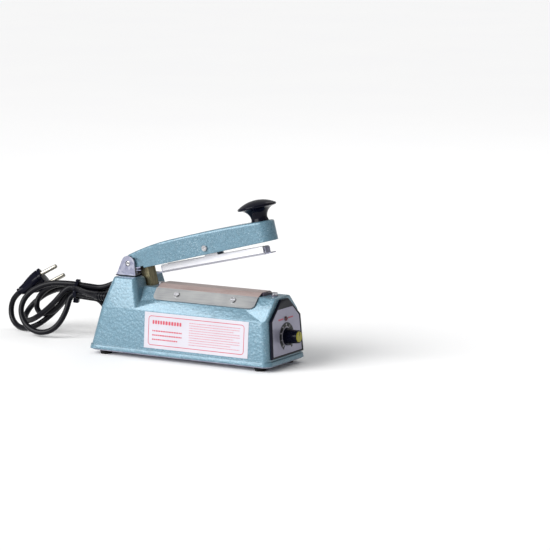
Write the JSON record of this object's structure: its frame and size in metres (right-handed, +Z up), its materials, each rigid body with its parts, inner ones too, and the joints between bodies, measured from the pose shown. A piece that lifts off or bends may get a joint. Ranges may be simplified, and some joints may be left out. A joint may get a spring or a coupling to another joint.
{
  "type": "impulse heat sealer",
  "caption": "Bench-top hand impulse heat sealer: sloped cast base with sealing strip and timer dial, hinged lever arm with pressing bar and mushroom knob, coiled mains cord.",
  "frame": {"origin": "on the bench, under the middle of the sealer without its cord", "axes": "+X from the hinge to the control panel, -Y the labelled front, +Z up"},
  "size_m": [0.3645, 0.1006, 0.1572],
  "materials": {
    "hammertone_enamel": "blue-grey hammertone enamel on die casting, semi-gloss",
    "black_plastic": "moulded black plastic, glossy",
    "matt_black": "matt black plastic or sheet",
    "grey_print": "printed grey plate, satin",
    "yellow_plastic": "yellow cap, glossy",
    "red_lens": "dark red lens",
    "zinc_steel": "zinc-plated sheet, satin",
    "screw_steel": "bright plated screws",
    "spring_steel": "dark oiled spring wire",
    "tongue_steel": "oiled passivated steel, satin",
    "bar_aluminium": "bright anodised extrusion",
    "plate_aluminium": "satin sheet",
    "silicone_grey": "grey silicone, matt",
    "ptfe_tan": "tan coated glass cloth, slightly shiny",
    "phenolic": "brown phenolic board",
    "nichrome": "resistance ribbon",
    "rubber_black": "black rubber, matt",
    "label_white": "white vinyl sticker with red border",
    "iron_core": "varnished laminations",
    "coil_tape": "yellow insulation tape",
    "board_green": "circuit board",
    "wire_white": "insulated wire",
    "cord_black": "black sheathed mains cord, slightly shiny",
    "nylon_white": "nylon",
    "pin_plated": "plated plug pins"
  },
  "bodies": {
    "base": {"base_housing": "hammertone_enamel", "bottom_cover": "zinc_steel", "rubber_feet": "rubber_black", "foot_screws": "screw_steel", "panel_bezel": "black_plastic", "panel_label": "grey_print", "dial_scale": "matt_black", "indicator_lamp": "red_lens", "potentiometer": "matt_black", "timer_board": "board_green", "heating_base": "phenolic", "heating_wire": "nichrome", "ptfe_cloth": "ptfe_tan", "side_plate_front": "plate_aluminium", "side_plate_back": "plate_aluminium", "side_plate_screws": "screw_steel", "terminal_insulators": "phenolic", "terminal_washers": "screw_steel", "terminal_screws": "screw_steel", "hinge_bracket": "zinc_steel", "bracket_gasket": "rubber_black", "bracket_screws": "screw_steel", "hinge_pin": "screw_steel", "pivot_washers": "nylon_white", "return_spring": "spring_steel", "transformer_core": "iron_core", "transformer_coil": "coil_tape", "microswitch": "matt_black", "inner_wires": "wire_white", "front_label": "label_white", "cord_gland": "cord_black", "cord_lead": "cord_black", "cord_hank": "cord_black", "cable_tie": "black_plastic", "plug_lead": "cord_black", "plug_body": "black_plastic", "plug_pins": "pin_plated"},
    "arm": {"lever_arm": "hammertone_enamel", "arm_tongue": "tongue_steel", "tongue_rivets": "screw_steel", "press_knob": "black_plastic", "knob_screw": "screw_steel", "bar_pivot_screw": "screw_steel", "bar_pivot_nut": "screw_steel", "bar_spacers": "nylon_white"},
    "bar": {"press_bar": "bar_aluminium", "silicone_strip": "silicone_grey", "strip_clamps": "zinc_steel", "clamp_screws": "screw_steel"},
    "knob": {"timer_knob": "black_plastic", "knob_cap": "yellow_plastic", "timer_shaft": "zinc_steel"},
    "plunger": {"switch_plunger": "nylon_white"}
  },
  "joints": [
    {"name": "arm_hinge", "type": "hinge", "parent": "base", "child": "arm", "pos_m": [-0.073, 0, 0.0878], "axis": [0, 1, 0], "range_deg": [0, 14.5], "stiffness_Nm_per_rad": 1.6, "springref_deg": -17.19, "deforming": ["return_spring"]},
    {"name": "bar_level", "type": "hinge", "parent": "arm", "child": "bar", "pos_m": [0.01264, 0, 0.10891], "axis": [0, 1, 0], "range_deg": [-2.5, 2.5]},
    {"name": "timer_turn", "type": "hinge", "parent": "base", "child": "knob", "pos_m": [0.09161, 0, 0.02945], "axis": [0.9976, 0, 0.0698], "range_deg": [-150, 150]},
    {"name": "switch_press", "type": "slide", "parent": "base", "child": "plunger", "axis": [-1, 0, 0], "range_m": [0, 0.0013], "stiffness_N_per_m": 60}
  ],
  "couplings": [
    {"joint": "bar_level", "follows": "arm_hinge", "ratio": -0.096552},
    {"joint": "switch_press", "follows": "arm_hinge", "m_per_rad": 0.004742}
  ]
}
